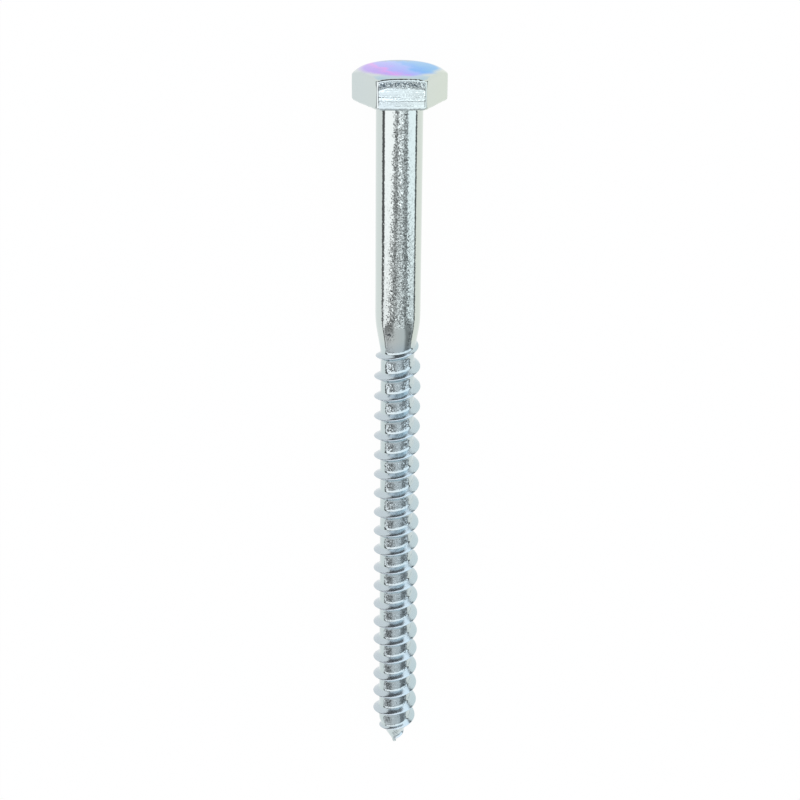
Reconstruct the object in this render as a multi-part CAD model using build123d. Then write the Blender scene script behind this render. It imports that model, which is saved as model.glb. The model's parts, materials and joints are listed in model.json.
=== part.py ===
"""Coach screw, 10 x 150: one piece of steel with a hexagon head, a plain shank and a wood thread.

The blank is cold forged from wire, which upsets the head and trims its hexagon, and the thread is
rolled on, so the core is thinner than the plain shank and the crests stand slightly proud of it.
The screw is drawn upright along Z, with its bearing face at Z = 0 and its tip below, and is then
laid down as it rests on a table: on one flat of the head and one crest of the thread.
"""
from build123d import *
import os
from math import atan, ceil, cos, degrees, radians, sin, tan

# Head
ACROSS_FLATS = 16.0
HEAD_HEIGHT = 6.4
CROWN_RADIUS = 6.9           # the nearly flat middle of the top
CROWN_DOME = 0.3             # its centre stands this much above its rim
CROWN_ROUNDING = 3.5         # radius that rolls from the rim down to the corners of the hexagon
CROWN_OFFSET = 0.6           # the hexagon was trimmed this far off the centre of the crown
HEAD_CORNER_RADIUS = 0.3     # the six upright edges of the hexagon
UNDER_HEAD_FLARE = 0.4       # where the shank meets the bearing face

# Plain shank
SHANK_DIAMETER = 9.06
SHANK_LENGTH = 43.4          # bearing face to where the shank begins to neck down
NECK_ROUNDING = 22.0         # radius of the shoulder where it begins
NECK_ANGLE = 9.7             # slope of the rest of the neck, down to the core of the thread

# Wood thread
LENGTH = 147.55              # bearing face to the very tip
PITCH = 4.5
THREAD_DIAMETER = 9.5
CORE_DIAMETER = 6.84
FLANK_ANGLE = 33.0           # each flank, from a plane across the axis
THREAD_START = 47.15         # where the ridge leaves the shoulder, below the bearing face
THREAD_START_ANGLE = 270.0   # and on which side of the screw, seen from the head
START_CREST_RADIUS = 3.95    # here the ridge is still inside the shoulder
LEAD_IN_TURNS = 2.0          # turns over which the crest grows to its full height
LEAD_OUT_TURNS = 1.5         # turns over which it winds down to the point
SECTIONS_PER_TURN = 12       # sections that shape the two ends of the ridge
WINDS_PER_TURN = 2           # pieces of helix that carry the even stretch between them
BURIED_SHARE = 0.5           # how deep its base sits in the core, as a share of its height
END_SINKING = 1.8            # power of the height at which its base draws in at the point

# Gimlet point
POINT_LENGTH = 6.2           # tapering end of the core, without the nib
NIB_RADIUS = 0.4             # stub that the rolling dies leave on the point
NIB_LENGTH = 0.7

shank_radius = SHANK_DIAMETER / 2
crest_radius = THREAD_DIAMETER / 2
core_radius = CORE_DIAMETER / 2
flat_radius = ACROSS_FLATS / 2
nib_start = LENGTH - NIB_LENGTH
point_start = nib_start - POINT_LENGTH
end_buried_radius = NIB_RADIUS / 4
thread_end = nib_start - end_buried_radius
total_turns = (thread_end - THREAD_START) / PITCH
closing_turn = total_turns - LEAD_OUT_TURNS


def hexagon_head():
    """Hexagonal prism whose top is rounded off by a shallow domed crown."""
    with BuildPart() as prism:
        with BuildSketch(Plane.XY):
            RegularPolygon(flat_radius, 6, major_radius=False)
        extrude(amount=HEAD_HEIGHT)
        fillet(prism.edges().filter_by(Axis.Z), HEAD_CORNER_RADIUS)
    rim = Vector(CROWN_RADIUS, HEAD_HEIGHT - CROWN_DOME)
    dome_radius = (CROWN_RADIUS**2 + CROWN_DOME**2) / (2 * CROWN_DOME)
    dome_centre = Vector(0, HEAD_HEIGHT - dome_radius)
    rounding_centre = rim + (dome_centre - rim).normalized() * CROWN_ROUNDING
    with BuildPart() as crown:
        with BuildSketch(Plane.XZ):
            with BuildLine():
                RadiusArc((0, HEAD_HEIGHT), rim, dome_radius)
                side = rounding_centre + Vector(CROWN_ROUNDING, 0)
                RadiusArc(rim, side, CROWN_ROUNDING)
                Polyline(side, (side.X, -HEAD_HEIGHT), (0, -HEAD_HEIGHT), (0, HEAD_HEIGHT))
            make_face()
        revolve(axis=Axis.Z)
    return prism.part & (Pos(0, -CROWN_OFFSET, 0) * crown.part)


def shank_and_core():
    """Turned outline of everything but the head and the ridge, from bearing face to nib."""
    slope = radians(NECK_ANGLE)
    cone_radius = shank_radius - NECK_ROUNDING * (1 - cos(slope))
    cone_start = SHANK_LENGTH + NECK_ROUNDING * sin(slope)
    cone_end = cone_start + (cone_radius - core_radius) / tan(slope)
    flare_radius = shank_radius + UNDER_HEAD_FLARE
    sunk = HEAD_HEIGHT / 2
    with BuildPart() as turned:
        with BuildSketch(Plane.XZ):
            with BuildLine():
                Polyline(
                    (0, sunk),
                    (flare_radius, sunk),
                    (flare_radius, 0),
                    (shank_radius, -UNDER_HEAD_FLARE),
                    (shank_radius, -SHANK_LENGTH),
                )
                RadiusArc((shank_radius, -SHANK_LENGTH), (cone_radius, -cone_start), NECK_ROUNDING)
                Polyline(
                    (cone_radius, -cone_start),
                    (core_radius, -cone_end),
                    (core_radius, -point_start),
                    (NIB_RADIUS, -nib_start),
                    (NIB_RADIUS, -LENGTH),
                    (0, -LENGTH),
                    (0, sunk),
                )
            make_face()
        revolve(axis=Axis.Z)
    return turned.part


def at_turn(turn):
    """Place on the axis that faces the ridge after so many turns from its start."""
    return Pos(0, 0, -THREAD_START - PITCH * turn) * Rot(Z=THREAD_START_ANGLE - 360 * turn)


def ridge_section(turn, tip_radius, root_radius):
    """Section of the ridge after so many turns from its start: a vee with its base in the core."""
    half_base = (tip_radius - root_radius) * tan(radians(FLANK_ANGLE))
    with BuildSketch(Plane(at_turn(turn) * Plane.XZ.location)) as section:
        with BuildLine():
            Polyline((root_radius, -half_base), (tip_radius, 0), (root_radius, half_base), close=True)
        make_face()
    return section.sketch.face()


def growing_ridge(buried_radius):
    """Start of the ridge, which rises out of the shoulder to its full height."""
    count = ceil(LEAD_IN_TURNS * SECTIONS_PER_TURN)
    sections = []
    for i in range(count + 1):
        along = i / count
        tip_radius = START_CREST_RADIUS + (crest_radius - START_CREST_RADIUS) * along
        sections.append(ridge_section(LEAD_IN_TURNS * along, tip_radius, buried_radius))
    return loft(sections)


def even_ridge(buried_radius):
    """Ridge of one height, swept in short winds from the end of the start to the point."""
    turns = closing_turn - LEAD_IN_TURNS
    count = ceil(WINDS_PER_TURN * turns)
    winds = []
    for i in range(count):
        wind = Helix(PITCH, PITCH * turns / count, crest_radius)
        winds.append(at_turn(closing_turn - turns * i / count) * wind)
    section = ridge_section(closing_turn, crest_radius, buried_radius)
    return sweep(section, path=Wire(winds), is_frenet=True)


def closing_ridge(buried_radius):
    """End of the ridge, which winds down round the point in the outline of a bullet."""
    count = ceil(LEAD_OUT_TURNS * SECTIONS_PER_TURN)
    sections = []
    for i in range(count + 1):
        height = 1 - i / count
        turn = total_turns - LEAD_OUT_TURNS * height**2
        tip_radius = NIB_RADIUS + (crest_radius - NIB_RADIUS) * height
        sunk = height**END_SINKING
        root_radius = end_buried_radius + (buried_radius - end_buried_radius) * sunk
        sections.append(ridge_section(turn, tip_radius, root_radius))
    return loft(sections)


def wood_thread():
    """The ridge in its three stretches, each with its base sunk into the core."""
    buried_radius = core_radius - BURIED_SHARE * (crest_radius - core_radius)
    return [growing_ridge(buried_radius), even_ridge(buried_radius), closing_ridge(buried_radius)]


def laid_down(screw):
    """Rest the screw on a table: head towards +Y, point towards -Y, lowest points at Z = 0."""
    resting_crest = thread_end - LEAD_OUT_TURNS * PITCH
    lean = degrees(atan((flat_radius - crest_radius) / resting_crest))
    lying = Rot(X=lean) * Rot(X=-90) * screw
    box = lying.bounding_box()
    return Pos(-box.center().X, -box.center().Y, -box.min.Z) * lying


screw = hexagon_head() + shank_and_core()
for ridge in wood_thread():
    screw += ridge
coach_screw = laid_down(screw)

os.makedirs("parts", exist_ok=True)
export_step(coach_screw, "parts/coach_screw.step")
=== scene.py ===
"""A zinc plated coach screw that lies on a white table in a light tent, seen from beyond its head."""
import bmesh
import bpy
import json
import numpy as np
from math import cos, radians, sin, sqrt, tan
from mathutils import Matrix, Vector, noise


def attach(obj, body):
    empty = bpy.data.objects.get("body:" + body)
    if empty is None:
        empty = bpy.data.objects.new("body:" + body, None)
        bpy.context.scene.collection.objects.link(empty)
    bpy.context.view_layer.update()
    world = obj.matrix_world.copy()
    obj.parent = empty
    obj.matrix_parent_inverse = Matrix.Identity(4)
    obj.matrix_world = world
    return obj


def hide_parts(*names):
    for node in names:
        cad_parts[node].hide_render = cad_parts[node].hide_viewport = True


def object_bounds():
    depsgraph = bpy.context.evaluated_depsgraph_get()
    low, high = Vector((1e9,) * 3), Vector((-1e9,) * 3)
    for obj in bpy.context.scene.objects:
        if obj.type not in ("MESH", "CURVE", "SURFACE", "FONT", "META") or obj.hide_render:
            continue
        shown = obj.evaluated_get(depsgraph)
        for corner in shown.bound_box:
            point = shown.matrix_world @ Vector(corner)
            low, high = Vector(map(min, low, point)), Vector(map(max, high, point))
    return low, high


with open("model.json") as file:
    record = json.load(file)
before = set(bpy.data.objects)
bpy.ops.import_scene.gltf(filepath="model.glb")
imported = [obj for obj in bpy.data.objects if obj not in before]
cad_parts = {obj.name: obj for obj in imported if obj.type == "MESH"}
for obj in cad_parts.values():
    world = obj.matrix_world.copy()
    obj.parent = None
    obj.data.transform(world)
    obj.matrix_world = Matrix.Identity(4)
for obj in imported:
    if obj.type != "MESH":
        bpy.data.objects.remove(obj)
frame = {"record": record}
cad_box = [list(corner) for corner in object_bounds()]


# The screw's own frame, read from the mounts of the CAD model.
# It is one forging, so everything on it is measured from the axis and from the bearing face,
# where the head sits on the work. Depths run from that face towards the point.
MM = 0.001
mounts = {mount["name"]: mount for mount in frame["record"]["mounts"]}
towards_point = Vector(mounts["bearing_face"]["axis"]).normalized()
bearing_centre = Vector(mounts["bearing_face"]["pos_m"])
bearing_centre.x = 0
to_the_right = Vector((1, 0, 0))
upwards = towards_point.cross(to_the_right)


def on_screw(side, height, depth):
    """Points of the row frame, in metres, from millimetres beside, above and along the axis."""
    points = np.outer(side, to_the_right) + np.outer(height, upwards) + np.outer(depth, towards_point)
    return points * MM + np.array(bearing_centre)


# Plain shank, neck, thread and gimlet point: drawn wire, thread rolled on between flat dies.
# One sheet is wound round the axis like the ridge itself, so that its rows follow the crest.
# The dies leave rounded crests, a small fillet at the root and a stub on the point.
COLUMNS = 96                 # round the screw, a multiple of six for the hexagon
SHANK_RADIUS = 4.53
SHANK_LENGTH = 43.4
FLARE = 0.4                  # radius of the fillet under the bearing face
NECK_ROUNDING = 22.0
NECK_ANGLE = radians(9.7)
CORE_RADIUS = 3.42
CREST_RADIUS = 4.75
PITCH = 4.5
THREAD_START = 47.15
START_CREST_RADIUS = 3.95
RIDGE_START = -0.5           # turns: before this the sheet is plain
LEAD_IN_TURNS = 2.0
LEAD_OUT_TURNS = 1.5
LEAD_OUT_BEND = 0.7          # a straight lead-out would be 1
FLANK_SLOPE = 1 / tan(radians(33.0))
CREST_ROUNDING = 0.11
ROOT_FILLET = 0.045
LENGTH = 147.55
NIB_RADIUS = 0.4
NIB_LENGTH = 0.7
RIDGE_STOP = NIB_RADIUS / 4  # before the nib starts
POINT_LENGTH = 6.2
POINT_SWELL = 1.3            # a straight cone would be 1
SPARE_TURNS = 1.5            # wound on past both ends, where the sheet is clipped
RIDGE_ROWS = (0.06, 0.15, 0.35, 0.65, 0.9, 0.97, 1.03, 1.15)   # shares of the ridge's half width
ROOT_ROWS = (0.35, 0.7)      # shares of the way from there to halfway to the next turn
LEAST_HALF_WIDTH = 0.15
MOST_HALF_WIDTH = 1.2
PLAIN_HALF_WIDTH = 1.6       # of the same rows on the plain shank
LAST_FOOT = 0.05             # how far before the end the ridge's foot stops
FIT_ROUNDS = 4               # the foot's depth and the ridge's width settle within these

nib_start = LENGTH - NIB_LENGTH
point_start = nib_start - POINT_LENGTH
total_turns = (nib_start - RIDGE_STOP - THREAD_START) / PITCH
cone_start = SHANK_LENGTH + NECK_ROUNDING * sin(NECK_ANGLE)
cone_radius = SHANK_RADIUS - NECK_ROUNDING * (1 - cos(NECK_ANGLE))


def core_radius_at(depth):
    """Radius of the turned outline under the ridge, at these depths."""
    into_neck = np.clip(depth - SHANK_LENGTH, 0, NECK_ROUNDING)
    shoulder = SHANK_RADIUS - NECK_ROUNDING + np.sqrt(NECK_ROUNDING**2 - into_neck**2)
    cone = cone_radius - (depth - cone_start) * tan(NECK_ANGLE)
    outline = np.maximum(np.where(depth < cone_start, shoulder, cone), CORE_RADIUS)
    along_point = np.clip((depth - point_start) / POINT_LENGTH, 0, 1)**POINT_SWELL
    outline = np.where(depth > point_start, CORE_RADIUS + (NIB_RADIUS - CORE_RADIUS) * along_point, outline)
    return np.where(depth >= LENGTH, 0, outline)


def crest_radius_at(turn):
    """Radius of the crest after so many turns: it grows from the neck and winds down to the point."""
    growing = START_CREST_RADIUS + (CREST_RADIUS - START_CREST_RADIUS) * turn / LEAD_IN_TURNS
    left = np.clip((total_turns - turn) / LEAD_OUT_TURNS, 0, 1)
    closing = NIB_RADIUS + (CREST_RADIUS - NIB_RADIUS) * left**LEAD_OUT_BEND
    return np.where(turn < 0, 0, np.minimum(np.minimum(growing, CREST_RADIUS), closing))


first_turn = -int(THREAD_START / PITCH + SPARE_TURNS)
last_turn = int((LENGTH - THREAD_START) / PITCH + SPARE_TURNS)
steps = (last_turn - first_turn) * COLUMNS
turn = first_turn + np.arange(steps + 1) / COLUMNS
row_offsets = []
for side in (-1, 1):
    half_width = np.full(steps + 1, (CREST_RADIUS - CORE_RADIUS) / FLANK_SLOPE)
    for again in range(FIT_ROUNDS):
        foot = np.clip(THREAD_START + PITCH * turn + side * half_width, FLARE, LENGTH - LAST_FOOT)
        half_width = (crest_radius_at(turn) - core_radius_at(foot)) / FLANK_SLOPE
        half_width = np.clip(half_width, LEAST_HALF_WIDTH, MOST_HALF_WIDTH)
    half_width = half_width + (PLAIN_HALF_WIDTH - half_width) * np.clip(RIDGE_START - turn, 0, 1)
    on_ridge = np.outer(half_width, RIDGE_ROWS)
    in_root = on_ridge[:, -1:] + (PITCH / 2 - on_ridge[:, -1:]) * ROOT_ROWS
    row_offsets.append(side * np.hstack([on_ridge, in_root]))
crest_line = np.zeros((steps + 1, 1))
offset = np.hstack([row_offsets[0][:, ::-1], crest_line, row_offsets[1], crest_line + PITCH / 2])
width = offset.shape[1]
turn = np.repeat(turn, width)
offset = offset.ravel()
depth = np.clip(THREAD_START + PITCH * turn + offset, FLARE, LENGTH)
core = core_radius_at(depth)
rounded = np.sqrt(offset**2 + CREST_ROUNDING**2) - CREST_ROUNDING
ridge = crest_radius_at(turn) - rounded * FLANK_SLOPE
ridge = np.where(depth >= LENGTH, 0, ridge)
radius = (core + ridge + np.sqrt((core - ridge)**2 + ROOT_FILLET**2)) / 2
radius = np.where(turn < RIDGE_START, core, radius)
radius = np.where(depth >= LENGTH, 0, np.minimum(radius, CREST_RADIUS))
angle = 2 * np.pi * turn
shank_points = on_screw(-radius * np.sin(angle), radius * np.cos(angle), depth)
shank_faces = []
for column in range(steps):
    for row in range(width):
        corner = column * width + row
        below = corner + 1
        if row == width - 1:
            below = (column + COLUMNS) * width
        if below + width < len(radius):
            shank_faces.append((corner, corner + width, below + width, below))


# The surface that drawing and rolling leave on the shank: its grain, its flanks and dark flecks.
# Drawing leaves the shank grainy, the dies press the neck smooth and roughen the roots, and dark
# flecks of painted shade are put at the neck and at both sides of the lower roots, where their reflections
# are dark.
SHANK_GRAIN = (0.8, 1.2)     # at the head and at the neck
DRAWN_REACH = 1.7            # past the shank's end, where the dies begin
DRAWN_FADE = 0.3
DRAWN_FRAY = 0.5
FRAY_PER_RADIAN = 1.5
ROOT_GRAIN = (0.2, 2.2)      # at the neck and from the second turn on
ROOT_GRAIN_DEPTHS = (SHANK_LENGTH + 5.4, SHANK_LENGTH + 9.4)
WORN_GRAIN = 0.8             # what is left of it towards the point
WORN_DEPTHS = (LENGTH - 50, LENGTH - 38)
FLANK_GRAIN = 0.2            # what is left of it on the flanks
FLANK_FEET = (0.05, 0.25)    # above the core, where the flank begins
THREADED_DEPTHS = (THREAD_START + 1, THREAD_START + 3)   # where the thread's rolled dents and its painted blue tint begin
# Dark flecks of painted shade: patches at the neck, and bands at both sides of the lower roots.
NECK_SHADE_FLECKS = (               # radians to the left, depth, the two half sizes, fullness and share
    (0.46, 46.9, 0.28, 1.4, 1.3, 1.0),
    (-0.58, 47.8, 0.14, 3.0, 1.4, 0.6),
)
ROOT_SHADE_FLECKS = (               # radians to the left, half size, fullness and share
    (-0.62, 0.16, 1.5, 0.8),
    (0.45, 0.2, 1.5, 0.56),
)
ROOT_SHADE_FLECKS_GROW = (75, 110)   # depths
ROOT_SHADE_FLECKS_END = (138, 136)


def between(value, start, full):
    """0 up to start, 1 from full on and straight between them; full may be the lesser of the two."""
    return np.clip((value - start) / (full - start), 0, 1)


on_flank = between(radius - core, *FLANK_FEET)
fray = np.array([noise.noise(Vector((turned, 0, 0)) * FRAY_PER_RADIAN) for turned in angle])
rolled = between(depth - SHANK_LENGTH - DRAWN_FRAY * fray, DRAWN_REACH, DRAWN_REACH + DRAWN_FADE)
threaded = between(depth, *THREADED_DEPTHS)
shank_grain = np.interp(depth, (0, SHANK_LENGTH), SHANK_GRAIN)
root_grain = np.interp(depth, ROOT_GRAIN_DEPTHS, ROOT_GRAIN) * np.interp(depth, WORN_DEPTHS, (1, WORN_GRAIN))
shank_grain = shank_grain * (1 - rolled) + root_grain * rolled
shank_grain = shank_grain * (1 - (1 - FLANK_GRAIN) * on_flank)
to_the_left = (angle + np.pi) % (2 * np.pi) - np.pi
# Painted shade: dark flecks on the neck and the lower roots, at the sides where their reflections are dark.
shank_painted_shade = np.zeros(len(depth))
for left, down, half_round, half_down, fullness, share in NECK_SHADE_FLECKS:
    away = np.hypot((to_the_left - left) / half_round, (depth - down) / half_down)
    shank_painted_shade = shank_painted_shade + share * np.clip(fullness - away, 0, 1)
low_root = (1 - on_flank) * between(depth, *ROOT_SHADE_FLECKS_GROW) * between(depth, *ROOT_SHADE_FLECKS_END)
for left, half_round, fullness, share in ROOT_SHADE_FLECKS:
    away = np.abs(to_the_left - left) / half_round
    shank_painted_shade = shank_painted_shade + share * low_root * np.clip(fullness - away, 0, 1)
shank_painted_shade = np.clip(shank_painted_shade, 0, 1)


# Hexagon head, upset from the same wire and then trimmed to 16 mm across flats, in rings that run
# from the shank over the bearing face, up the flats and over the dome. The trim sits a little off
# centre. It rolled the crown's edge, dragged the metal below it inwards, and left two steps and a lip.
HEAD_COLUMNS = 2 * COLUMNS
FLAT_RADIUS = 8.0
HEAD_HEIGHT = 6.395
CORNER_RADIUS = 0.8
CROWN_RADIUS = 6.9
CROWN_DOME = 0.3
CROWN_ROUNDING = 3.5
CROWN_OFFSET = 0.6
CORNER_BEVEL = 0.12
CORNER_BEVEL_TURN = radians(17)
CORNER_TURNS = (0, 7, 15, 19, 30)   # degrees through half a corner, with the bevel between 15 and 19
EDGE_RADIUS = 0.35
EDGE_WANDER = 0.12           # how far the lower edge strays up and down
EDGE_BEVEL = 0.19            # width of a ragged bevel partway round each edge
BEVEL_FRAY = 1.5
CROWN_BEVEL_TURN = 47        # degrees from the flat
BEARING_BEVEL_TURN = 36
BEARING_TURNS = (80, 60, 45, 38, 34, 22, 10)   # degrees, from the bearing face to the flat
BEARING_INSET = EDGE_RADIUS * 1.6   # of the flat bearing face from the flats of the head
LONG_WAVES = 1.1             # per mm, of the wandering edge
LONG_WAVES_CUT = 3.0         # where the noise is cut, which only picks the pattern
SHORT_WAVES = 2.6            # per mm, of the torn teeth
SHORT_WAVES_CUT = 9.0
LIP = 0.02                   # how far the lip at the bearing face stands out
LIP_WIDTH = 0.3
DRAG_DEPTH = 0.07
DRAG_START = 0.25            # below the crown's edge
DRAG_ARCH = 0.35             # how much lower it starts at the corners
DRAG_WIDTH = 0.85
DRAG_ENDS = (4.6, 1.6)       # it is gone at the first and whole above the second
DRAG_TEETH = 0.5
TEETH_START = 0.4
TEETH_GROWTH = 0.6
TRIM_STEPS = (2.7, 1.85)     # heights of the two faint steps
TRIM_STEP = 0.008
TRIM_STEP_WIDTH = 0.15
TRIM_STEP_WANDER = 0.15
STREAKS = 0.004
STREAKS_ROUND = 0.15         # per mm, round the head
STREAKS_UP = 3.0             # per mm, up its flats
FLAT_RINGS = 48
FLARE_TURNS = (0.5, 1.0, np.pi / 2)   # radians, from the shank to the bearing face
BEARING_SHARES = (0.3, 0.6, 0.85, 1)   # from the flare out to the edge of the bearing face
EDGE_SHARES = (0.25, 0.55, 0.8, 0.95, 1.05, 1.5, 2)   # 0 to 1 below the crown's bevel, 1 to 2 above it
RIM_SHARES = (0.1, 0.25, 0.4, 0.55, 0.7, 0.85, 1)   # from the edge in to the rim of the dome
DOME_SHARES = (0.97, 0.9, 0.8, 0.7, 0.6, 0.5, 0.4, 0.3, 0.2, 0.1, 0)   # of the dome's radius
SLOPE_STEP = 0.005           # share of the radius over which the crown's slope is taken
FORMED_SHARE = 0.8           # of each half flat; its drags and steps fade from there to the corner
side_columns = HEAD_COLUMNS // 6
dome_radius = (CROWN_RADIUS**2 + CROWN_DOME**2) / (2 * CROWN_DOME)
rim_slope = CROWN_RADIUS / dome_radius
rounding_centre_radius = CROWN_RADIUS - CROWN_ROUNDING * rim_slope
rounding_centre_height = HEAD_HEIGHT - CROWN_DOME - CROWN_ROUNDING * sqrt(1 - rim_slope**2)


def crown_height(side, height):
    """How far the crown stands above the bearing face, over a point beside and above the axis."""
    out = np.hypot(side, height - CROWN_OFFSET)
    dome = HEAD_HEIGHT - dome_radius + np.sqrt(dome_radius**2 - np.minimum(out, CROWN_RADIUS)**2)
    past = np.clip(out - rounding_centre_radius, 0, CROWN_ROUNDING)
    rolled_edge = rounding_centre_height + np.sqrt(CROWN_ROUNDING**2 - past**2)
    return np.where(out < CROWN_RADIUS, dome, rolled_edge)


def hexagon(inset):
    """Ring of points round the hexagon, closer together at its rounded corners."""
    flat = FLAT_RADIUS - inset
    rounding = CORNER_RADIUS - inset
    bevel_out = CORNER_BEVEL * sin(CORNER_BEVEL_TURN)
    bevel_along = CORNER_BEVEL * cos(CORNER_BEVEL_TURN)
    reach = (FLAT_RADIUS - CORNER_RADIUS - bevel_out) * tan(radians(30)) - bevel_along
    on_flat = side_columns // 2 - len(CORNER_TURNS) + 1
    ring = []
    for column in range(HEAD_COLUMNS):
        side = round(column / side_columns)
        place = column - side * side_columns
        away = abs(place)
        turned = radians(CORNER_TURNS[max(away - on_flat, 0)])
        bevelled = turned > CORNER_BEVEL_TURN
        along = reach * min(away / on_flat, 1) + rounding * sin(turned) + bevel_along * bevelled
        out = flat - rounding * (1 - cos(turned)) - bevel_out * bevelled
        along = along if place >= 0 else -along
        facing = radians(60 * side)
        ring.append((out * sin(facing) + along * cos(facing), out * cos(facing) - along * sin(facing)))
    return np.array(ring)


def drawn_in(ring, inset):
    """The ring drawn in towards the axis, by the same share of its radius all along each flat."""
    return ring * (1 - inset / FLAT_RADIUS)[:, None]


columns = 2 * np.pi * np.arange(HEAD_COLUMNS) / HEAD_COLUMNS
round_ring = np.stack([np.sin(columns), np.cos(columns)], axis=1)
outline = hexagon(0)
uneven = [noise.noise(Vector((x * LONG_WAVES, y * LONG_WAVES, LONG_WAVES_CUT))) for x, y in outline]
uneven = np.array(uneven)
teeth = [noise.noise(Vector((x * SHORT_WAVES, y * SHORT_WAVES, SHORT_WAVES_CUT))) for x, y in outline]
teeth = np.array(teeth)
from_middle = np.abs((np.arange(HEAD_COLUMNS) + side_columns // 2) % side_columns - side_columns // 2)
from_middle = from_middle / (side_columns / 2)
flatness = between(from_middle, 1, FORMED_SHARE)
rings = []
for turned in FLARE_TURNS:
    plane = round_ring * (SHANK_RADIUS + FLARE * (1 - cos(turned)))
    rings.append(np.column_stack([plane, np.full(HEAD_COLUMNS, FLARE * (sin(turned) - 1))]))
for share in BEARING_SHARES:
    plane = round_ring * (SHANK_RADIUS + FLARE) * (1 - share) + hexagon(BEARING_INSET) * share
    rings.append(np.column_stack([plane, np.zeros(HEAD_COLUMNS)]))
bevel = EDGE_BEVEL * (1 + BEVEL_FRAY * teeth)
bevel_in = bevel * sin(radians(BEARING_BEVEL_TURN))
bevel_down = bevel * cos(radians(BEARING_BEVEL_TURN))
for turned in BEARING_TURNS:
    bevelled = turned > BEARING_BEVEL_TURN
    inset = EDGE_RADIUS * (1 - cos(radians(turned))) + bevel_in * bevelled
    lifted = EDGE_RADIUS * (1 - sin(radians(turned))) + bevel_down * (not bevelled)
    lifted = lifted + EDGE_WANDER * uneven * (1 - turned / 90)
    rings.append(np.column_stack([drawn_in(outline, inset), lifted]))
bottom = EDGE_RADIUS + bevel_down + EDGE_WANDER * uneven
slope = crown_height(*(outline * (1 - SLOPE_STEP)).T) - crown_height(*outline.T)
slope = slope / (SLOPE_STEP * np.hypot(*outline.T))
crown_turn = np.pi / 2 - np.arctan(slope)
bevel_in = bevel * sin(radians(CROWN_BEVEL_TURN))
bevel_up = bevel * cos(radians(CROWN_BEVEL_TURN))
edge_end = drawn_in(outline, EDGE_RADIUS * (1 - np.cos(crown_turn)) + bevel_in)
top = crown_height(*edge_end.T) - EDGE_RADIUS * np.sin(crown_turn) - bevel_up
for share in np.linspace(0, 1, FLAT_RINGS):
    height = bottom + (top - bottom) * share
    below_top = top - height
    into_drag = below_top - DRAG_START - DRAG_ARCH * from_middle**2
    into_drag = into_drag + DRAG_TEETH * teeth * np.clip(below_top - TEETH_START, 0, TEETH_GROWTH)
    dragged = DRAG_DEPTH * np.clip(into_drag / DRAG_WIDTH, 0, 1) * between(below_top, *DRAG_ENDS)
    above_steps = [height - step - TRIM_STEP_WANDER * uneven for step in TRIM_STEPS]
    stepped = TRIM_STEP * sum(between(above, 0, -TRIM_STEP_WIDTH) for above in above_steps)
    lip = LIP * between(height - bottom, 0, LIP_WIDTH)
    streaks = [
        noise.noise(Vector((x * STREAKS_ROUND, y * STREAKS_ROUND, z * STREAKS_UP)))
        for (x, y), z in zip(outline, height)
    ]
    inward = (dragged + stepped + lip + STREAKS * np.array(streaks)) * flatness
    rings.append(np.column_stack([drawn_in(outline, inward), height]))
for share in EDGE_SHARES:
    halfway = radians(CROWN_BEVEL_TURN)
    turned = halfway * min(share, 1) + (crown_turn - halfway) * max(share - 1, 0)
    inset = EDGE_RADIUS * (1 - np.cos(turned)) + bevel_in * (share > 1)
    lifted = top + EDGE_RADIUS * np.sin(turned) + bevel_up * (share > 1)
    rings.append(np.column_stack([drawn_in(outline, inset), lifted]))
edge_rings = len(rings)
crown_rim = round_ring * CROWN_RADIUS + (0, CROWN_OFFSET)
for share in RIM_SHARES:
    plane = edge_end * (1 - share) + crown_rim * share
    rings.append(np.column_stack([plane, crown_height(*plane.T)]))
for share in DOME_SHARES:
    plane = round_ring * CROWN_RADIUS * share + (0, CROWN_OFFSET)
    rings.append(np.column_stack([plane, crown_height(*plane.T)]))
head_rings = len(rings)
rings = np.concatenate(rings)
shank_ring = round_ring[::2] * SHANK_RADIUS
shank_ring = on_screw(-shank_ring[:, 0], shank_ring[:, 1], np.full(COLUMNS, FLARE))
head_points = np.concatenate([shank_ring, on_screw(-rings[:, 0], rings[:, 1], -rings[:, 2])])
seam = len(shank_points)
first = seam + COLUMNS
head_faces = []
for column in range(COLUMNS):
    here = seam + column
    beside = seam + (column + 1) % COLUMNS
    near, middle, far = [first + (2 * column + step) % HEAD_COLUMNS for step in (0, 1, 2)]
    head_faces.extend([(here, middle, near), (here, beside, middle), (beside, far, middle)])
for ring in range(head_rings - 1):
    for column in range(HEAD_COLUMNS):
        here = first + ring * HEAD_COLUMNS + column
        beside = first + ring * HEAD_COLUMNS + (column + 1) % HEAD_COLUMNS
        head_faces.append((here, beside, beside + HEAD_COLUMNS, here + HEAD_COLUMNS))


# The whole forging: shank and head joined into one closed mesh, with what its plate needs to know.
# The head is smooth from the dies apart from the dragged metal, which is grainy and gets dark flecks of
# painted shade on its upper flat, and the passivate lies thick in a patch on the crown, whose low rim gets a
# painted shade for the shadowed table that it reflects.
HEAD_GRAIN = 0.08
TORN_GRAIN = 2.4             # in the dragged metal
TORN_TEETH = 0.5
TORN_TOP = (0.1, 0.3)        # below the crown's edge: where the torn grain starts and is whole
TORN_END = (1.2, 0.9)
UPPER_FLAT = (7.6, 7.7)      # heights above the axis that only the upper flat and its ends reach
FLECKLESS_CORNERS = (0.93, 0.78)   # shares of half a flat, where the painted flecks of shade end
FILM_HALF_WIDTH = 6.95       # of the patch on the crown where the passivate shimmers
FILM_HALF_DEPTH = 6.1
FILM_SET_BACK = 0.4
FILM_DROP = 1                # below the middle of the crown, as far as the patch reaches
NO_FILM = 2                  # a value well outside that patch
FRONT_FILM = 0.7             # share of the paler film between the patch and the upper edge
FRONT_FILM_HEIGHT = (5.3, 6.1)
FRONT_FILM_SIDES = (6.5, 4.0)
FLAT_FILM = 0.15             # its share on the upper flat
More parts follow.
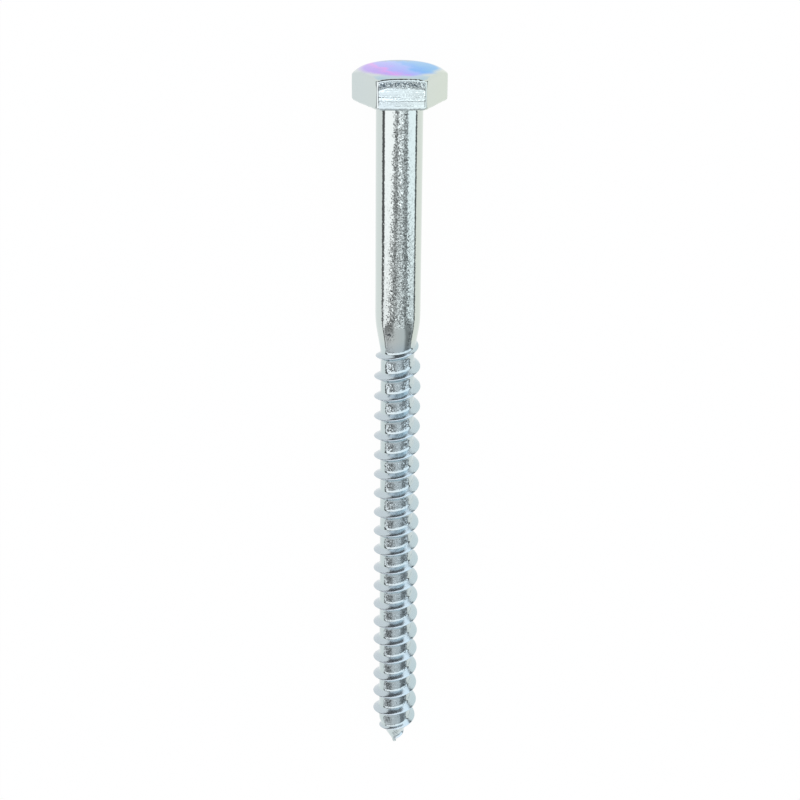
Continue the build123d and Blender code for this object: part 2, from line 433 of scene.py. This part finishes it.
# Painted shade on the crown's low rim, near the table: it stands for the reflection of the shadowed table
# under the head.
LOW_RIM_SHADE_DEPTHS = (4.7, 5.6)   # below the axis, on the crown
LOW_RIM_SHADE_WANDER = 1.2
MERGE_DISTANCE = 0.0005
beside_axis, above_axis, from_bearing = rings.T
across_crown = np.hypot(beside_axis / FILM_HALF_WIDTH, (above_axis + FILM_SET_BACK) / FILM_HALF_DEPTH)
across_crown = np.where(from_bearing > HEAD_HEIGHT - FILM_DROP, across_crown, NO_FILM)
below_top = np.tile(top + TORN_TEETH * teeth, head_rings) - from_bearing
torn = between(below_top, *TORN_TOP) * between(below_top, *TORN_END)
on_flats = np.tile(flatness, head_rings)
head_grain = HEAD_GRAIN + (TORN_GRAIN - HEAD_GRAIN) * torn * on_flats
on_crown = np.arange(len(rings)) >= edge_rings * HEAD_COLUMNS
on_upper_flat = between(above_axis, *UPPER_FLAT)
front_film = between(above_axis, *FRONT_FILM_HEIGHT) * between(np.abs(beside_axis), *FRONT_FILM_SIDES)
front_film = FRONT_FILM * on_crown * front_film + FLAT_FILM * ~on_crown * on_upper_flat * on_flats
# Painted shade: dark flecks in the dragged band under the rolled edge of the upper flat, fading out before
# the corners.
head_painted_shade = torn * on_upper_flat * np.tile(between(from_middle, *FLECKLESS_CORNERS), head_rings)
# Painted shade: darker colour on the crown's rim below the axis.
low_rim_painted_shade = on_crown * between(LOW_RIM_SHADE_WANDER * np.tile(uneven, head_rings) - above_axis, *LOW_RIM_SHADE_DEPTHS)
no_shank = np.zeros(len(depth) + COLUMNS)
no_head = np.zeros(COLUMNS + len(rings))
measured = {
    "graininess": np.concatenate([shank_grain, np.zeros(COLUMNS), head_grain]),
    "on_flank": np.concatenate([on_flank, no_head]),
    "threaded": np.concatenate([threaded, no_head]),
    "shade_flecks": np.concatenate([shank_painted_shade, np.zeros(COLUMNS), head_painted_shade]),
    "from_film_centre": np.concatenate([no_shank + NO_FILM, across_crown]),
    "front_film": np.concatenate([no_shank, front_film]),
    "low_rim_painted_shade": np.concatenate([no_shank, low_rim_painted_shade]),
}
screw_mesh = bpy.data.meshes.new("coach_screw_forging")
all_points = np.concatenate([shank_points, head_points])
screw_mesh.from_pydata(all_points.tolist(), [], shank_faces + head_faces)
for name, values in measured.items():
    attribute = screw_mesh.attributes.new(name, "FLOAT", "POINT")
    attribute.data.foreach_set("value", values.astype(np.float32))
joining = bmesh.new()
joining.from_mesh(screw_mesh)
bmesh.ops.remove_doubles(joining, verts=joining.verts, dist=MERGE_DISTANCE * MM)
bmesh.ops.dissolve_degenerate(joining, edges=joining.edges, dist=MERGE_DISTANCE * MM)
bmesh.ops.recalc_face_normals(joining, faces=joining.faces)
joining.to_mesh(screw_mesh)
open_edges = sum(not edge.is_manifold for edge in joining.edges)
print("screw mesh:", len(joining.verts), "vertices,", len(joining.faces), "faces,", open_edges, "open edges")
joining.free()
screw_mesh.shade_smooth()
screw = bpy.data.objects.new("coach_screw_forging", screw_mesh)
bpy.context.scene.collection.objects.link(screw)


# Bright zinc plate, electroplated and clear passivated.
# The steel under it is as forged, so the plate shows fine grain and soft dents in its reflections,
# and on the crown the passivate is thick enough to shimmer from pink through lilac to light blue.
def linear(hex_colour):
    """Linear colour, with alpha, from an sRGB hex value."""
    shares = [int(hex_colour[start:start + 2], 16) / 255 for start in (1, 3, 5)]
    return [share / 12.92 if share <= 0.04045 else ((share + 0.055) / 1.055)**2.4 for share in shares] + [1]


def add_node(tree, kind, settings=None, inputs=None):
    """Add a node with its settings, and fill its sockets with values or links."""
    node = tree.nodes.new(kind)
    for name, value in (settings or {}).items():
        setattr(node, name, value)
    for socket, value in (inputs or {}).items():
        if isinstance(value, bpy.types.NodeSocket):
            tree.links.new(value, node.inputs[socket])
        else:
            node.inputs[socket].default_value = value
    return node


ZINC_LEFT_PAINTED_TINT = linear("#cdd7d7")   # painted reflection tint: the zinc is made cooler on the left and warmer on the right, as the colours it reflects there
ZINC_RIGHT_PAINTED_TINT = linear("#d3dcd1")
THREAD_PAINTED_BLUE = linear("#c4d2d3")   # painted reflection: bluer on the thread, for the blue its ridges reflect onto each other
# Painted reflection: the flanks are tinted bluer, and cooler on the left, for what they reflect from the
# ridges beside them.
FLANK_LEFT_PAINTED_TINT = linear("#c6ced5")
FLANK_RIGHT_PAINTED_TINT = linear("#c0d5d9")
# Painted shade: the colour of the dark flecks put where the reflections are dark.
SHADE_FLECK_COLOUR = linear("#5f6769")
FILM_FRONT = linear("#a9c9dd")
# Painted shade: the colour of the crown's low rim, for the shadowed table it reflects.
LOW_RIM_SHADE_COLOUR = linear("#88a6bd")
FILM_STOPS = (
    (0.25, "#b698f0"), (0.4, "#d890ee"), (0.5, "#a4a2fa"),
    (0.7, "#90b2fa"), (0.85, "#56a8f6"), (1.0, "#60b2ec"),
)
FILM_RUN = (-9.5, 4.5)       # mm to the right, where its run of colours starts and ends
FILM_LEAN = -0.45            # how far that run slants with the height
FILM_DRIFT = 0.5
FILM_EDGE = (1.35, 1.07)     # where it begins and is full, in half widths and with the fray added
FILM_FRAY = 0.3
FRAY_SIZE = 2.5              # mm
CRYSTAL_SIZE = 0.21          # mm; the real crystals are far finer, and show only as this coarse sparkle
CRYSTAL_LEAN = (0.025, 0.09, 0.025)   # radians, most of it along the screw
UNFLECKED_CRYSTALS = 0.6         # share of the crystals that get no painted shade
DENT_SIZE = 0.7              # mm
DENT_HEIGHT = 0.004          # mm
ROLLED_DENT_HEIGHT = 0.017   # mm, on the thread
ROUGHNESS = 0.06             # bright plate; the dies leave the flanks duller
FLANK_ROUGHNESS = 0.18
zinc = bpy.data.materials.new("bright_zinc_plate")
zinc.use_nodes = True
tree = zinc.node_tree
tree.nodes.clear()
measure = {}
for name in measured:
    measure[name] = add_node(tree, "ShaderNodeAttribute", {"attribute_name": name}).outputs["Fac"]
place = add_node(tree, "ShaderNodeTexCoord").outputs["Object"]
axes = add_node(tree, "ShaderNodeSeparateXYZ", inputs={"Vector": place}).outputs
crystals = add_node(tree, "ShaderNodeTexVoronoi", inputs={
    "Vector": place, "Scale": 1 / (CRYSTAL_SIZE * MM),
}).outputs["Color"]
dents = add_node(tree, "ShaderNodeTexNoise", inputs={
    "Vector": place, "Scale": 1 / (DENT_SIZE * MM), "Detail": 1.0,
}).outputs["Fac"]
dent_height = add_node(tree, "ShaderNodeMapRange", inputs={
    "Value": measure["threaded"], "To Min": DENT_HEIGHT * MM, "To Max": ROLLED_DENT_HEIGHT * MM,
}).outputs["Result"]
dent_height = add_node(tree, "ShaderNodeMath", {"operation": "MULTIPLY"}, {
    0: dent_height, 1: measure["graininess"],
}).outputs[0]
dented = add_node(tree, "ShaderNodeBump", inputs={
    "Height": dents, "Distance": dent_height, "Strength": 1.0,
}).outputs["Normal"]
lean = add_node(tree, "ShaderNodeVectorMath", {"operation": "MULTIPLY_ADD"}, {
    0: crystals, 1: CRYSTAL_LEAN, 2: [-most / 2 for most in CRYSTAL_LEAN],
}).outputs[0]
tilted = add_node(tree, "ShaderNodeVectorMath", {"operation": "SCALE"}, {
    0: lean, "Scale": measure["graininess"],
}).outputs[0]
crystalline = add_node(tree, "ShaderNodeVectorMath", {"operation": "ADD"}, {0: dented, 1: tilted}).outputs[0]
grained = add_node(tree, "ShaderNodeVectorMath", {"operation": "NORMALIZE"}, {0: crystalline}).outputs[0]
wander = add_node(tree, "ShaderNodeTexNoise", inputs={
    "Vector": place, "Scale": 1 / (FRAY_SIZE * MM), "Detail": 6.0,
}).outputs["Fac"]
ragged = add_node(tree, "ShaderNodeMath", {"operation": "MULTIPLY_ADD"}, {
    0: wander, 1: FILM_FRAY, 2: measure["from_film_centre"],
}).outputs[0]
on_film = add_node(tree, "ShaderNodeMapRange", {"interpolation_type": "SMOOTHSTEP"}, {
    "Value": ragged, "From Min": FILM_EDGE[0], "From Max": FILM_EDGE[1],
}).outputs["Result"]
leaning = add_node(tree, "ShaderNodeMath", {"operation": "MULTIPLY_ADD"}, {
    0: axes["Z"], 1: FILM_LEAN, 2: axes["X"],
}).outputs[0]
film_place = add_node(tree, "ShaderNodeMapRange", inputs={
    "Value": leaning, "From Min": FILM_RUN[0] * MM, "From Max": FILM_RUN[1] * MM,
}).outputs["Result"]
film_drift = add_node(tree, "ShaderNodeMath", {"operation": "MULTIPLY_ADD"}, {
    0: wander, 1: FILM_DRIFT, 2: film_place,
}).outputs[0]
film = add_node(tree, "ShaderNodeValToRGB", inputs={"Fac": film_drift})
stops = film.color_ramp.elements
for stop, (position, colour) in enumerate(FILM_STOPS):
    element = stops[stop] if stop < len(stops) else stops.new(position)
    element.position = position
    element.color = linear(colour)
rightwards = add_node(tree, "ShaderNodeMapRange", inputs={
    "Value": axes["X"], "From Min": -FLAT_RADIUS * MM, "From Max": FLAT_RADIUS * MM,
}).outputs["Result"]
# Painted reflection tint across the screw, from left to right.
coloured = add_node(tree, "ShaderNodeMix", {"data_type": "RGBA"}, {
    0: rightwards, 6: ZINC_LEFT_PAINTED_TINT, 7: ZINC_RIGHT_PAINTED_TINT,
}).outputs[2]
# Painted reflection tint of the flanks, from left to right.
flank_painted_tint = add_node(tree, "ShaderNodeMix", {"data_type": "RGBA"}, {
    0: rightwards, 6: FLANK_LEFT_PAINTED_TINT, 7: FLANK_RIGHT_PAINTED_TINT,
}).outputs[2]
# Painted shade: a share of the crystals in the flecked patches takes the dark fleck colour.
luck = add_node(tree, "ShaderNodeSeparateColor", inputs={"Color": crystals}).outputs["Red"]
fleck = add_node(tree, "ShaderNodeMath", {"operation": "GREATER_THAN"}, {0: luck, 1: UNFLECKED_CRYSTALS})
flecks = add_node(tree, "ShaderNodeMath", {"operation": "MULTIPLY"}, {
    0: fleck.outputs[0], 1: measure["shade_flecks"],
}).outputs[0]
for share, tint in (
    (measure["threaded"], THREAD_PAINTED_BLUE),
    (measure["on_flank"], flank_painted_tint),
    (flecks, SHADE_FLECK_COLOUR),
    (measure["front_film"], FILM_FRONT),
    (on_film, film.outputs["Color"]),
    (measure["low_rim_painted_shade"], LOW_RIM_SHADE_COLOUR),
):
    coloured = add_node(tree, "ShaderNodeMix", {"data_type": "RGBA"}, {
        0: share, 6: coloured, 7: tint,
    }).outputs[2]
roughness = add_node(tree, "ShaderNodeMapRange", inputs={
    "Value": measure["on_flank"], "To Min": ROUGHNESS, "To Max": FLANK_ROUGHNESS,
}).outputs["Result"]
surface = add_node(tree, "ShaderNodeBsdfPrincipled", inputs={
    "Base Color": coloured, "Metallic": 1.0, "Roughness": roughness, "Normal": grained,
})
add_node(tree, "ShaderNodeOutputMaterial", inputs={"Surface": surface.outputs["BSDF"]})
screw_mesh.materials.append(zinc)
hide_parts("coach_screw")
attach(screw, "root")


# Table top of white laminate, far wider than the screw.
# The camera and the metal see it nearly white; the rest of its colour is lit, and holds the shadow.
TABLE_HALF_WIDTH = 0.14
TABLE_HALF_LENGTH = 0.6
PLAIN_SHARE = 0.97
table_mesh = bpy.data.meshes.new("white_table")
low = cad_box[0][2]
quarters = ((-1, -1), (1, -1), (1, 1), (-1, 1))
corners = [(x * TABLE_HALF_WIDTH, y * TABLE_HALF_LENGTH, low) for x, y in quarters]
table_mesh.from_pydata(corners, [], [(0, 1, 2, 3)])
table = bpy.data.objects.new("white_table", table_mesh)
bpy.context.scene.collection.objects.link(table)
laminate = bpy.data.materials.new("white_laminate")
laminate.use_nodes = True
tree = laminate.node_tree
tree.nodes.clear()
ray = add_node(tree, "ShaderNodeLightPath").outputs
seen = add_node(tree, "ShaderNodeMath", {"operation": "ADD"}, {
    0: ray["Is Camera Ray"], 1: ray["Is Glossy Ray"],
}).outputs[0]
seen = add_node(tree, "ShaderNodeMath", {"operation": "ADD"}, {
    0: seen, 1: ray["Is Transmission Ray"],
}).outputs[0]
share = add_node(tree, "ShaderNodeMath", {"operation": "MULTIPLY"}, {0: seen, 1: PLAIN_SHARE}).outputs[0]
lit = add_node(tree, "ShaderNodeBsdfDiffuse", inputs={"Color": linear("#f6f6f6")})
plain = add_node(tree, "ShaderNodeEmission", inputs={"Color": linear("#ffffff"), "Strength": 1.0})
mixed = add_node(tree, "ShaderNodeMixShader", inputs={
    0: share, 1: lit.outputs["BSDF"], 2: plain.outputs["Emission"],
})
add_node(tree, "ShaderNodeOutputMaterial", inputs={"Surface": mixed.outputs["Shader"]})
table_mesh.materials.append(laminate)


# Light tent: bright cloth all round, with the dark room showing at its foot.
# Two dark seams start beside the camera and part towards the far end of the tent, past the point of
# the screw, and the cloth between them is half dark. They draw the bands on the shank.
CLOTH_LEVEL = 1.4
CLOTH_LEFT = linear("#fffbff")
CLOTH_RIGHT = linear("#eef5ff")
CLOTH_WIDTH = 0.7            # sine of the angle to either side where those colours are full
ROOM = 0.09                  # these levels are shares of the cloth's
ROOM_AHEAD = 0.07            # past the head
ROOM_CHANGE = (0.5, 0.9)     # sines of the angle past the head, from the one to the other
RIB_PITCH = 0.045            # the seams and the cloth between them are ribbed across the tent
RIB_CONTRAST = 0.8
RIB_SINE = 0.7               # the ribs are a sine cut off here, so that they have flat tops
RIBS_END = (0.3, 0.25)       # past the start of the seams
SEAMS_START = 0.25           # how far towards the point they begin, as a sine
SEAMS_FADE = 0.02
PARTING = 5                  # degrees right of overhead, between the left seam's half and the right one's
HALF_DARK = (                # stops: how far past the start, as a sine, and level
    (0.0, 0.9), (0.02, 0.84), (0.055, 0.6), (0.085, 0.45), (0.12, 0.38),
    (0.15, 0.46), (0.17, 0.6), (0.2, 0.58), (0.3, 0.52),
)
LEFT_SEAM = (                # inner edge, outer edge and level; an edge is in degrees from overhead
    ((0.0, 8), (0.055, 8), (0.085, 6), (0.12, 8), (0.145, 11), (0.2, 22), (0.25, 30), (0.3, 25)),
    ((0.0, 22), (0.055, 27), (0.085, 32), (0.117, 43), (0.145, 47), (0.2, 68), (0.25, 77), (0.3, 86)),
    (
        (0.0, 0.3), (0.055, 0.28), (0.085, 0.23), (0.12, 0.26), (0.15, 0.3),
        (0.17, 0.4), (0.2, 0.16), (0.28, 0.13), (0.42, 0.52),
    ),
)
RIGHT_SEAM = (
    ((0.0, 19), (0.055, 19), (0.085, 18), (0.12, 21), (0.145, 31), (0.25, 33), (0.42, 46)),
    ((0.0, 38), (0.055, 41), (0.085, 43), (0.12, 50), (0.145, 60), (0.22, 72), (0.3, 88), (0.42, 80)),
    (
        (0.0, 0.32), (0.055, 0.3), (0.085, 0.2), (0.12, 0.25), (0.15, 0.28),
        (0.17, 0.36), (0.2, 0.2), (0.3, 0.22), (0.42, 0.21),
    ),
)
LEFT_CLOTH = ((0.0, 1.0), (0.085, 1.0), (0.117, 0.93), (0.145, 0.82), (0.2, 0.85), (0.3, 1.0))
RIGHT_CLOTH = ((0.0, 1.0), (0.055, 0.97), (0.085, 0.91), (0.12, 0.71), (0.145, 0.53), (0.3, 0.5))
MOST_DEGREES = 90
SEAM_BLUR = (2.5, 9)         # degrees, near the start of the seams and at their far end
SEAM_BLUR_GROWS = (0.2, 0.4)
FOOT_HEIGHT = 0.15           # sine of the height at which the cloth ends
FOOT_RISE = 0.14             # what is added past the head
FOOT_LEAN = -0.05            # what is added on the right
AHEAD = (0.7, 0.85)          # sines of the angle past the head
FOOT_AHEAD = (0.1, -0.22)    # what is added straight past the head, and on the right of that
FOOT_AHEAD_CHANGE = (0.17, 0.27)
FOOT_BEHIND = 0.2            # what is left of it towards the point
FOOT_BEHIND_CHANGE = (-0.39, -0.38)
FOOT_BLUR = 0.02
world = bpy.data.worlds.new("light_tent")
bpy.context.scene.world = world
world.use_nodes = True
tree = world.node_tree
tree.nodes.clear()
direction = add_node(tree, "ShaderNodeTexCoord").outputs["Generated"]
axes = add_node(tree, "ShaderNodeSeparateXYZ", inputs={"Vector": direction}).outputs
overhead = add_node(tree, "ShaderNodeMath", {"operation": "ARCTAN2"}, {
    0: axes["X"], 1: axes["Z"],
}).outputs[0]
overhead = add_node(tree, "ShaderNodeMath", {"operation": "DEGREES"}, {0: overhead}).outputs[0]
past_start = add_node(tree, "ShaderNodeMath", {"operation": "MULTIPLY_ADD"}, {
    0: axes["Y"], 1: -1, 2: -SEAMS_START,
}).outputs[0]
past_start = add_node(tree, "ShaderNodeMath", {"operation": "MAXIMUM"}, {0: past_start, 1: 0}).outputs[0]
started = add_node(tree, "ShaderNodeMapRange", inputs={
    "Value": axes["Y"], "From Min": -SEAMS_START + SEAMS_FADE, "From Max": -SEAMS_START,
}).outputs["Result"]
ribs = add_node(tree, "ShaderNodeMath", {"operation": "MULTIPLY"}, {
    0: axes["Y"], 1: 2 * np.pi / RIB_PITCH,
}).outputs[0]
ribs = add_node(tree, "ShaderNodeMath", {"operation": "SINE"}, {0: ribs}).outputs[0]
ribs = add_node(tree, "ShaderNodeMapRange", inputs={
    "Value": ribs, "From Min": -RIB_SINE, "From Max": RIB_SINE,
    "To Min": 1 - RIB_CONTRAST, "To Max": 1 + RIB_CONTRAST,
}).outputs["Result"]
near_ribs = add_node(tree, "ShaderNodeMapRange", inputs={
    "Value": past_start, "From Min": RIBS_END[0], "From Max": RIBS_END[1],
}).outputs["Result"]
ribs = add_node(tree, "ShaderNodeMix", {"data_type": "FLOAT"}, {0: near_ribs, 2: 1.0, 3: ribs}).outputs[0]
blur = add_node(tree, "ShaderNodeMapRange", inputs={
    "Value": past_start, "From Min": SEAM_BLUR_GROWS[0], "From Max": SEAM_BLUR_GROWS[1],
    "To Min": SEAM_BLUR[0], "To Max": SEAM_BLUR[1],
}).outputs["Result"]
minus_blur = add_node(tree, "ShaderNodeMath", {"operation": "MULTIPLY"}, {0: blur, 1: -1}).outputs[0]
along_tent = []
for stops, most in (
    (HALF_DARK, 1),
    (LEFT_SEAM[0], MOST_DEGREES), (LEFT_SEAM[1], MOST_DEGREES), (LEFT_SEAM[2], 1),
    (RIGHT_SEAM[0], MOST_DEGREES), (RIGHT_SEAM[1], MOST_DEGREES), (RIGHT_SEAM[2], 1),
    (LEFT_CLOTH, 1), (RIGHT_CLOTH, 1),
):
    ramp = add_node(tree, "ShaderNodeValToRGB", inputs={"Fac": past_start})
    elements = ramp.color_ramp.elements
    for stop, (position, value) in enumerate(stops):
        element = elements[stop] if stop < len(elements) else elements.new(position)
        element.position = position
        element.color = (value / most, value / most, value / most, 1)
    along_tent.append(ramp.outputs["Color"])
half_dark = add_node(tree, "ShaderNodeMath", {"operation": "MULTIPLY"}, {
    0: ribs, 1: along_tent[0],
}).outputs[0]
sides = []
for outwards, (inner, outer, level), beside_seam in (
    (-1, along_tent[1:4], along_tent[7]), (1, along_tent[4:7], along_tent[8]),
):
    dark = add_node(tree, "ShaderNodeMath", {"operation": "MULTIPLY"}, {0: ribs, 1: level}).outputs[0]
    away = add_node(tree, "ShaderNodeMath", {"operation": "MULTIPLY"}, {0: overhead, 1: outwards}).outputs[0]
    shade = half_dark
    for edge, outside in ((inner, dark), (outer, beside_seam)):
        past = add_node(tree, "ShaderNodeMath", {"operation": "MULTIPLY_ADD"}, {
            0: edge, 1: -MOST_DEGREES, 2: away,
        }).outputs[0]
        passed = add_node(tree, "ShaderNodeMapRange", inputs={
            "Value": past, "From Min": minus_blur, "From Max": blur,
        }).outputs["Result"]
        shade = add_node(tree, "ShaderNodeMix", {"data_type": "FLOAT"}, {
            0: passed, 2: shade, 3: outside,
        }).outputs[0]
    sides.append(shade)
on_the_right = add_node(tree, "ShaderNodeMath", {"operation": "GREATER_THAN"}, {
    0: overhead, 1: PARTING,
}).outputs[0]
seamed = add_node(tree, "ShaderNodeMix", {"data_type": "FLOAT"}, {
    0: on_the_right, 2: sides[0], 3: sides[1],
}).outputs[0]
cloth = add_node(tree, "ShaderNodeMix", {"data_type": "FLOAT"}, {0: started, 2: 1.0, 3: seamed}).outputs[0]
towards_head = add_node(tree, "ShaderNodeMath", {"operation": "MAXIMUM"}, {0: axes["Y"], 1: 0}).outputs[0]
foot_top = add_node(tree, "ShaderNodeMath", {"operation": "MULTIPLY_ADD"}, {
    0: towards_head, 1: FOOT_RISE, 2: FOOT_HEIGHT,
}).outputs[0]
foot_top = add_node(tree, "ShaderNodeMath", {"operation": "MULTIPLY_ADD"}, {
    0: axes["X"], 1: FOOT_LEAN, 2: foot_top,
}).outputs[0]
ahead = add_node(tree, "ShaderNodeMapRange", inputs={
    "Value": axes["Y"], "From Min": AHEAD[0], "From Max": AHEAD[1],
}).outputs["Result"]
foot_ahead = add_node(tree, "ShaderNodeMapRange", inputs={
    "Value": axes["X"], "From Min": FOOT_AHEAD_CHANGE[0], "From Max": FOOT_AHEAD_CHANGE[1],
    "To Min": FOOT_AHEAD[0], "To Max": FOOT_AHEAD[1],
}).outputs["Result"]
foot_top = add_node(tree, "ShaderNodeMath", {"operation": "MULTIPLY_ADD"}, {
    0: ahead, 1: foot_ahead, 2: foot_top,
}).outputs[0]
foot_share = add_node(tree, "ShaderNodeMapRange", inputs={
    "Value": axes["Y"], "From Min": FOOT_BEHIND_CHANGE[0], "From Max": FOOT_BEHIND_CHANGE[1],
    "To Min": FOOT_BEHIND,
}).outputs["Result"]
foot_top = add_node(tree, "ShaderNodeMath", {"operation": "MULTIPLY"}, {
    0: foot_top, 1: foot_share,
}).outputs[0]
over_foot = add_node(tree, "ShaderNodeMath", {"operation": "SUBTRACT"}, {
    0: axes["Z"], 1: foot_top,
}).outputs[0]
above_foot = add_node(tree, "ShaderNodeMapRange", inputs={
    "Value": over_foot, "From Min": -FOOT_BLUR, "From Max": FOOT_BLUR,
}).outputs["Result"]
room = add_node(tree, "ShaderNodeMapRange", inputs={
    "Value": axes["Y"], "From Min": ROOM_CHANGE[0], "From Max": ROOM_CHANGE[1],
    "To Min": ROOM, "To Max": ROOM_AHEAD,
}).outputs["Result"]
tent = add_node(tree, "ShaderNodeMix", {"data_type": "FLOAT"}, {0: above_foot, 2: room, 3: cloth}).outputs[0]
level = add_node(tree, "ShaderNodeMath", {"operation": "MULTIPLY"}, {0: tent, 1: CLOTH_LEVEL}).outputs[0]
rightwards = add_node(tree, "ShaderNodeMapRange", inputs={
    "Value": axes["X"], "From Min": -CLOTH_WIDTH, "From Max": CLOTH_WIDTH,
}).outputs["Result"]
cloth_colour = add_node(tree, "ShaderNodeMix", {"data_type": "RGBA"}, {
    0: rightwards, 6: CLOTH_LEFT, 7: CLOTH_RIGHT,
}).outputs[2]
ray = add_node(tree, "ShaderNodeLightPath").outputs
shown = add_node(tree, "ShaderNodeMix", {"data_type": "FLOAT"}, {
    0: ray["Is Camera Ray"], 2: level, 3: 1.0,
}).outputs[0]
shown_colour = add_node(tree, "ShaderNodeMix", {"data_type": "RGBA"}, {
    0: ray["Is Camera Ray"], 6: cloth_colour, 7: linear("#ffffff"),
}).outputs[2]
glow = add_node(tree, "ShaderNodeBackground", inputs={"Color": shown_colour, "Strength": shown})
add_node(tree, "ShaderNodeOutputWorld", inputs={"Surface": glow.outputs["Background"]})


# Camera: beyond the head and high above, looking down along the screw towards its point.
# It was fitted to the outlines of the head and the shank and to the spacing of the crests.
CAMERA_BEYOND_HEAD = 85.05   # mm from the bearing face, along the axis
CAMERA_HEIGHT = 319.0        # mm from the axis
CAMERA_PITCH = radians(24.86)
CAMERA_ROLL = radians(0.486)
CAMERA_SWING = radians(2.6)
CAMERA_SIDE = 0.06           # mm
FOCAL_PIXELS = 1714.0
IMAGE_PIXELS = 800
SENSOR_WIDTH = 36.0          # mm
CLIP_START = 0.01            # m
camera_right = (
    cos(CAMERA_SWING) * cos(CAMERA_ROLL) * to_the_right
    + sin(CAMERA_SWING) * cos(CAMERA_ROLL) * upwards
    - sin(CAMERA_ROLL) * towards_point
)
along_screw = (
    cos(CAMERA_SWING) * sin(CAMERA_ROLL) * to_the_right
    + sin(CAMERA_SWING) * sin(CAMERA_ROLL) * upwards
    + cos(CAMERA_ROLL) * towards_point
)
over_screw = cos(CAMERA_SWING) * upwards - sin(CAMERA_SWING) * to_the_right
forward = sin(CAMERA_PITCH) * along_screw - cos(CAMERA_PITCH) * over_screw
image_down = cos(CAMERA_PITCH) * along_screw + sin(CAMERA_PITCH) * over_screw
camera_place = bearing_centre + MM * (
    CAMERA_SIDE * camera_right + CAMERA_HEIGHT * over_screw - CAMERA_BEYOND_HEAD * along_screw
)
lens = bpy.data.cameras.new("camera")
lens.sensor_width = SENSOR_WIDTH
lens.lens = SENSOR_WIDTH * FOCAL_PIXELS / IMAGE_PIXELS
lens.clip_start = CLIP_START
camera = bpy.data.objects.new("camera", lens)
camera.matrix_world = Matrix.Translation(camera_place) @ Matrix(
    (camera_right, -image_down, -forward)
).transposed().to_4x4()
bpy.context.scene.collection.objects.link(camera)
bpy.context.scene.camera = camera
bpy.context.scene.view_settings.view_transform = "Standard"
